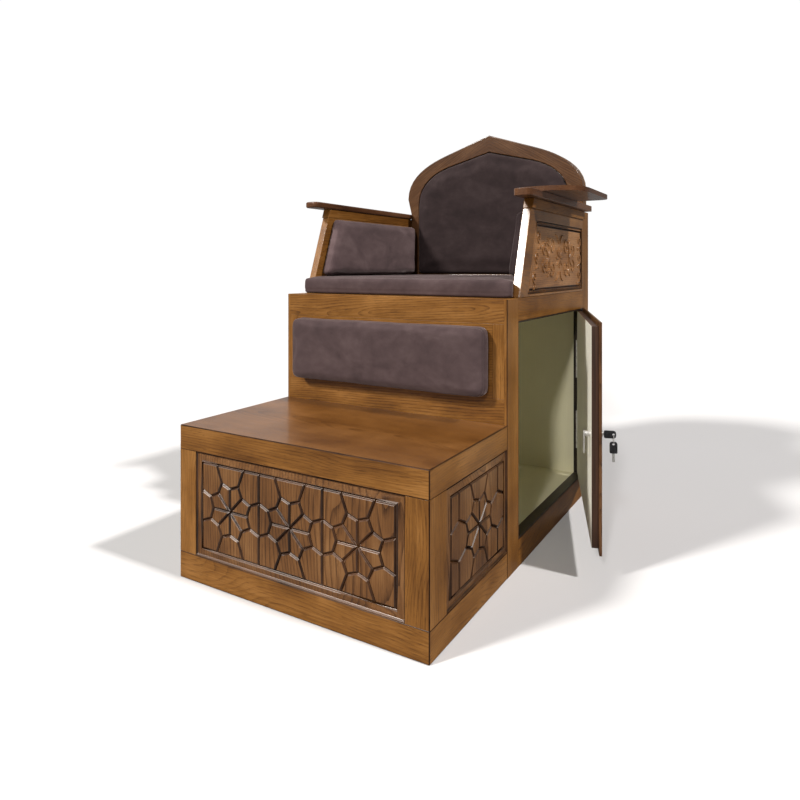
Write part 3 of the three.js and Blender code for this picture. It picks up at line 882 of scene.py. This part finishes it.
def column(mesh, side):
    """Three scrolls above each other at one end of the panel, each over a forked leaf."""
    for k in (-1, 0, 1):
        z = LEVEL + COLUMN_PITCH * k
        y = panel_front(z) + FRONT_COLUMN if side < 0 else ARM_END - REAR_COLUMN
        fork = (y - side * 4, z - 20)
        ridge(mesh, spiral((y, z), END_SCROLL, -90, 1.3, side), CURL_WIDTH)
        ridge(mesh, bow(fork, (y + side * 12, z - 36), 4), 7)
        ridge(mesh, bow(fork, (y - side * 17, z - 33), -4), 7)


def relief_mesh(name):
    """Scrolling leaves either side of a flower, closed by a column of scrolls at each end."""
    mesh = bmesh.new()
    flower(mesh)
    for side in (-1, 1):
        for turn in (-1, 1):
            scrolls(mesh, side, turn)
        column(mesh, side)
    bmesh.ops.recalc_face_normals(mesh, faces=mesh.faces)
    return mesh_data(name, mesh)


def make_arm_panels():
    """Sunk panels in the arms' outer sides, and the raised pattern on them."""
    # The groove beds' dimmed stain is painted shade.
    grooves = (arris("arm_groove", 0.3), arris("arm_groove_bed_shade", 0.0, 0.45))
    outer = [
        (panel_front(ARM_LOW), ARM_LOW),
        (ARM_END, ARM_LOW),
        (ARM_END, ARM_HIGH),
        (panel_front(ARM_HIGH), ARM_HIGH),
    ]
    field = inset_outline(outer, ARM_BAND)
    look = {"gloss": 0.36, "ring": 50.0, "coat": 0.2, "heart": 0.25}
    for side, label in ((1, "R"), (-1, "L")):
        # Their lighter stain is painted light on the arms' outer sides.
        board = wood("arm_carved_" + label, "painted_light_arm_wood", "Y", 60 + side, **look)
        name = "arm_carving_" + label
        mesh = carved_mesh(name, outer, field, [], ARM_SUNK)
        place_panel(name, mesh, (board, *grooves), side_plane(side), "arm_panel_" + label)
        name = "arm_relief_" + label
        place_panel(name, relief_mesh(name), (board,), side_plane(side))


# ---------------------------------------------------------------- cabinet's front boards
STILE_IN = 333.0
RAIL_TOP = 470.0
JOINT = 0.3


def make_front_boards():
    """Bottom rail, middle panel and two stiles behind the calf pad."""
    low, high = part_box("cab_front_low")
    stile, rail, joint = STILE_IN * MM, RAIL_TOP * MM, JOINT * MM
    boards = [
        (low.x, high.x, low.z, rail - joint, 0),
        (-stile + joint, stile - joint, rail, high.z, 0),
        (low.x, -stile, rail, high.z, 1),
        (stile, high.x, rail, high.z, 1),
    ]
    mesh = bmesh.new()
    for x0, x1, z0, z1, material_index in boards:
        corners = bmesh.ops.create_cube(mesh, size=1.0)["verts"]
        for v in corners:
            v.co.x = x1 if v.co.x > 0 else x0
            v.co.y = high.y if v.co.y > 0 else low.y
            v.co.z = z1 if v.co.z > 0 else z0
        for face in {f for v in corners for f in v.link_faces}:
            face.material_index = material_index
    obj = new_object("cab_front_boards", mesh_data("cab_front_boards", mesh))
    across = wood(
        "front_across", "wood", "X", 21, ring=46.0, figure=0.75, heart=0.05, node="cab_front_low"
    )
    upright = wood("front_upright", "wood", "Z", 22, ring=60.0, figure=0.5)
    finish_piece(obj, "wood", (across, upright), "cab_front_low")
    bevel(obj, "ease", 0.5, 2)
    settle_normals(obj)


# ------------------------------------------------------------------------ finishes
def both(*names):
    """The left and the right node of each name."""
    return [name + side for name in names for side in ("_L", "_R")]


# The boards by the way that their grain runs.
BOARDS = {
    "X": [
        "step_top",
        "step_front_rail_low",
        "step_front_rail_high",
        "cab_front_high",
        "seat_board",
    ],
    "Y": both(
        "step_side_rail_high",
        "step_side_rail_low",
        "cab_rail_low",
        "cab_rail_high",
        "arm_strip",
        "arm_frame",
    ),
    "Z": both("step_front_stile", "step_side_stile", "cab_post_front", "post_rear")
    + ["cab_panel_L", "door_skin"],
}
ARCHED = ("step_top", "cab_front_high", "seat_board", "door_skin")
ROUNDED = ["seat_board", "cab_panel_L", "door_skin"] + both("arm_strip", "arm_frame")
# The step's top takes its darker stain as painted shade.
STAINS = {"door_skin": "back_wood", "step_top": "painted_shade_step_wood"}
COATS = {"step_top": 0.3, "arm_frame_R": 0.6}

# The chair's own outer corners, as x, y, z; None is the way that a corner runs.
ARRIS_LINES = [(None, 0, STEP_TOP)]
for half in (HALF, -HALF):
    ARRIS_LINES.append((half, None, STEP_TOP))
    ARRIS_LINES += [(half, depth, None) for depth in (0, CABINET_FRONT, REAR)]
ON_LINE = 0.9


def on_arris(point):
    """True where a vertex lies on one of the chair's own outer corners."""
    here = (point.x / MM, (point.y - FRONT) / MM, point.z / MM)
    return any(
        all(goal is None or abs(value - goal) < ON_LINE for value, goal in zip(here, line))
        for line in ARRIS_LINES
    )


def dress(node, material, width, segments, corner=0.0, corner_material=None):
    """Gives a CAD node its material, eased edges and wider outer corners in a darker stain that also
    paints their shade.
    """
    obj = NODES[node]
    obj.data.materials.clear()
    obj.data.materials.append(material)
    merge_facets(obj)
    if corner:
        obj.data.materials.append(corner_material)
        group = obj.vertex_groups.new(name="corner")
        group.add([v.index for v in obj.data.vertices if on_arris(v.co)], 1.0, "REPLACE")
        wide = bevel(obj, "corner", corner, 3, "VGROUP")
        wide.vertex_group = "corner"
        wide.material = 1
    bevel(obj, "ease", width, segments, angle=50 if corner else 38)
    settle_normals(obj)


def dress_boards():
    """Every board of the two boxes, the door's skin and the arms, each cut from its own wood."""
    edge = arris("arris", 0.15)
    ordered = [(axis, name) for axis, names in BOARDS.items() for name in names]
    for seed, (axis, name) in enumerate(ordered, 1):
        arched = name in ARCHED
        board = wood(
            "board_" + name,
            STAINS.get(name, "wood"),
            axis,
            seed,
            ring=46.0 if arched else 64.0,
            coat=COATS.get(name, 0.12),
            figure=0.75 if arched else 0.42,
            heart=0.012 if arched else 0.22,
            node=name,
        )
        if name in ROUNDED:
            dress(name, board, 2.0, 3)
        else:
            dress(name, board, 0.25, 1, 2.2 if name.startswith("step") else 2.4, edge)


def dress_back_and_tops():
    """The arched frame, the lacquered boards on the arms and the plain boards at the rear."""
    look = {"gloss": 0.34, "ring": 46.0, "coat": 0.3, "figure": 0.7, "heart": 0.3}
    dress("back_frame", wood("board_back_frame", "back_wood", "arch", 33, **look), 3.5, 4)
    look = {"gloss": 0.34, "coat": 0.35, "figure": 0.4}
    for seed, name in enumerate(("arm_board_L", "arm_board_R", "tablet"), 40):
        dress(name, wood("board_" + name, "glossy_wood", "Y", seed, **look), 5.5, 5)
    look = {"gloss": 0.55, "coat": 0.0}
    for seed, name in enumerate(("cab_bearer", "cab_back", "back_board"), 50):
        dress(name, wood("board_" + name, "plain_wood", "X", seed, **look), 1.2, 2)


def dress_opening_and_fittings():
    """The cabinet's opening and lining, the door's core, and the metal and plastic pieces."""
    dress("door_reveal", dark_edge(), 0.6, 2)
    dress("cab_liner", paint("cream_paint", (0.89, 0.84, 0.58)), 0.6, 1)
    dress("door_core", door_core_paint(), 0.8, 2)
    nickel = metal("satin_nickel", (0.50, 0.49, 0.46), (0.70, 0.69, 0.66), 0.65)
    zinc = metal("pale_zinc", (0.62, 0.61, 0.56), (0.82, 0.81, 0.77), 0.3)
    for name in NODES:
        if name.startswith("hinge"):
            dress(name, zinc, 0.25, 2)
    for name in ("lock_body", "lock_plug", "key_blade", "key_ring", "spare_blade", "tablet_pin"):
        dress(name, nickel, 0.25, 2)
    black = plastic()
    for name in ("key_bow", "spare_bow"):
        dress(name, black, 1.0, 3)


# ------------------------------------------------------------------------ cushions
# The cloth simulation: its frames, its pressure and how far a point may move sideways.
SIM_FRAMES = 20
PRESSURE = 4.0
SIDEWAYS = 1.2

# The sewn seam: its width and depth, and how squarely a face may look across it.
SEAM_WIDTH = 2.6
SEAM_DEPTH = 1.8
SEAM_FACING = 0.8


def rounded(node, radius):
    """Copy of a CAD solid's mesh with its edges rounded off."""
    source = new_object("source", NODES[node].data.copy())
    merge_facets(source)
    bevel(source, "round", radius, 4, angle=50)
    mesh = evaluated(source)
    bpy.data.objects.remove(source)
    return mesh


def apply_modifiers(obj):
    """Makes the modified mesh the object's own."""
    obj.data = evaluated(obj)
    obj.modifiers.clear()


def remeshed(name, mesh, voxel):
    """Object with an even grid of faces, for the cloth simulation."""
    obj = new_object(name, mesh)
    grid = obj.modifiers.new("grid", "REMESH")
    grid.mode = "VOXEL"
    grid.voxel_size = voxel
    apply_modifiers(obj)
    return obj


def swell(obj, axis, side, rest, cap, reach):
    """Cloth under pressure with gravity off; the points at the rest place are held.

    No point rises further than cap, or moves further than SIDEWAYS any other way.
    """
    group = obj.vertex_groups.new(name="held")
    held = [v.index for v in obj.data.vertices if abs(v.co[axis] - rest) < reach]
    group.add(held, 1.0, "REPLACE")
    cloth = obj.modifiers.new("cloth", "CLOTH")
    settings = cloth.settings
    settings.quality = 5
    settings.mass = 0.3
    settings.tension_stiffness = 18
    settings.compression_stiffness = 14
    settings.shear_stiffness = 6
    settings.bending_stiffness = 0.6
    settings.use_pressure = True
    settings.uniform_pressure_force = PRESSURE
    settings.effector_weights.gravity = 0
    settings.vertex_group_mass = "held"
    cloth.collision_settings.use_collision = False
    cloth.point_cache.frame_start = 1
    cloth.point_cache.frame_end = SIM_FRAMES
    for number in range(1, SIM_FRAMES + 1):
        SCENE.frame_set(number)
    swollen = evaluated(obj)
    SCENE.frame_set(1)
    obj.modifiers.clear()
    least, most = [-SIDEWAYS * MM] * 3, [SIDEWAYS * MM] * 3
    if side > 0:
        least[axis] = -cap * MM
    else:
        most[axis] = cap * MM
    for v, moved in zip(obj.data.vertices, swollen.vertices):
        step = moved.co - v.co
        v.co += Vector([max(a, min(b, s)) for a, b, s in zip(least, most, step)])
    bpy.data.meshes.remove(swollen)


def soften(obj):
    """Takes out the small creases that the simulation leaves."""
    tool = obj.modifiers.new("soft", "SMOOTH")
    tool.factor = 0.5
    tool.iterations = 3
    apply_modifiers(obj)


def ripple(obj, seed, height=1.0, scale=8.0):
    """Slight unevenness of the filling."""
    offset = Vector((seed * 3.1, seed * 1.7, seed * 0.9))
    normals = [v.normal.copy() for v in obj.data.vertices]
    for v, normal in zip(obj.data.vertices, normals):
        wave = noise.fractal(v.co * scale + offset, 1.0, 2.0, 3)
        v.co += normal * (wave * height * MM)


def clamp_into(obj, walls):
    """Keeps every point on the free side of flat walls: (axis, side, limit in metres)."""
    for v in obj.data.vertices:
        for axis, side, limit in walls:
            if side * v.co[axis] > side * limit:
                v.co[axis] = limit


def divide(obj):
    """One level of subdivision, smooth shaded."""
    fine = obj.modifiers.new("fine", "SUBSURF")
    fine.levels = 1
    fine.render_levels = 1
    apply_modifiers(obj)
    for face in obj.data.polygons:
        face.use_smooth = True


def sew(obj, axis, place):
    """Draws the surface in along a seam that runs round the pad at a place on one axis."""
    moves = []
    for v in obj.data.vertices:
        off = (v.co[axis] - place) / (SEAM_WIDTH * MM)
        if abs(off) < 3 and abs(v.normal[axis]) < SEAM_FACING:
            drawn = math.exp(-off * off)
            if drawn > 0.02:
                moves.append((v, v.normal * (-SEAM_DEPTH * MM * drawn)))
    for v, step in moves:
        v.co += step


def pad(name, node, material, axis, side, voxel, radius, cap, proud, seed, seam=None, walls=()):
    """One cushion, which rests on a board at one side of its box along an axis.

    Sizes are in millimetres: voxel is its mesh's, radius its edges', cap is how far it
    swells, proud how far it may stand past its box, and seam how far its sewn seam lies
    from its free face.
    """
    low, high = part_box(node)
    rest, face = (high[axis], low[axis]) if side > 0 else (low[axis], high[axis])
    obj = remeshed(name, rounded(node, radius), voxel * MM)
    swell(obj, axis, side, rest, cap, 1.2 * voxel * MM)
    soften(obj)
    ripple(obj, seed)
    clamp_into(obj, [(axis, side, rest), (axis, -side, face - side * proud * MM), *walls])
    divide(obj)
    if seam:
        sew(obj, axis, face + side * seam * MM)
    finish_piece(obj, "velvet", (material,), node)


def make_cushions():
    """The five cushions; the seat's seam lies low and its ends stay between the arms."""
    plain = velvet("velvet", 1.0)
    # Lit and shaded copies of one velvet: the left arm's is lighter as painted light, the back's and the
    # right arm's darker as painted shade.
    brushed = velvet("velvet_arm", 1.5)
    painted_shade_velvet = velvet("velvet_painted_shade", 0.45)
    pad(
        "calf_pad_cover", "calf_pad", plain,
        axis=1, side=1, voxel=7, radius=10, cap=7, proud=4, seed=1, seam=13,
    )
    low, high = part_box("seat_cushion")
    seam = (high.z - low.z) / MM - 12
    walls = [(0, 1, high.x), (0, -1, low.x), (1, -1, low.y - 4 * MM)]
    pad(
        "seat_cover", "seat_cushion", plain,
        axis=2, side=-1, voxel=9, radius=24, cap=6, proud=4, seed=2, seam=seam, walls=walls,
    )
    pad(
        "back_cover", "back_pad", painted_shade_velvet,
        axis=1, side=1, voxel=9, radius=6, cap=12, proud=12, seed=3,
    )
    for side, label, painted_light_velvet in ((1, "R", painted_shade_velvet), (-1, "L", brushed)):
        pad(
            "arm_cover_" + label, "arm_pad_" + label, painted_light_velvet,
            axis=0, side=side, voxel=8, radius=8, cap=7, proud=5, seed=4, seam=9,
        )


# --------------------------------------------------------------------------- floor
FLOOR_SIZE = 60.0
FLOOR_DROP = 0.0008


def make_floor():
    """Wide pale floor, a hair below the chair's feet."""
    mesh = bpy.data.meshes.new("studio_floor")
    corners = rectangle(-FLOOR_SIZE, FLOOR_SIZE, -FLOOR_SIZE, FLOOR_SIZE)
    mesh.from_pydata([(x, y, -FLOOR_DROP) for x, y in corners], [], [(0, 1, 2, 3)])
    mesh.materials.append(floor_paint())
    new_object("studio_floor", mesh)


make_camera()
make_lamps()
make_world()
make_floor()
dress_boards()
dress_back_and_tops()
dress_opening_and_fittings()
make_step_panels()
make_front_boards()
make_arm_panels()
make_cushions()
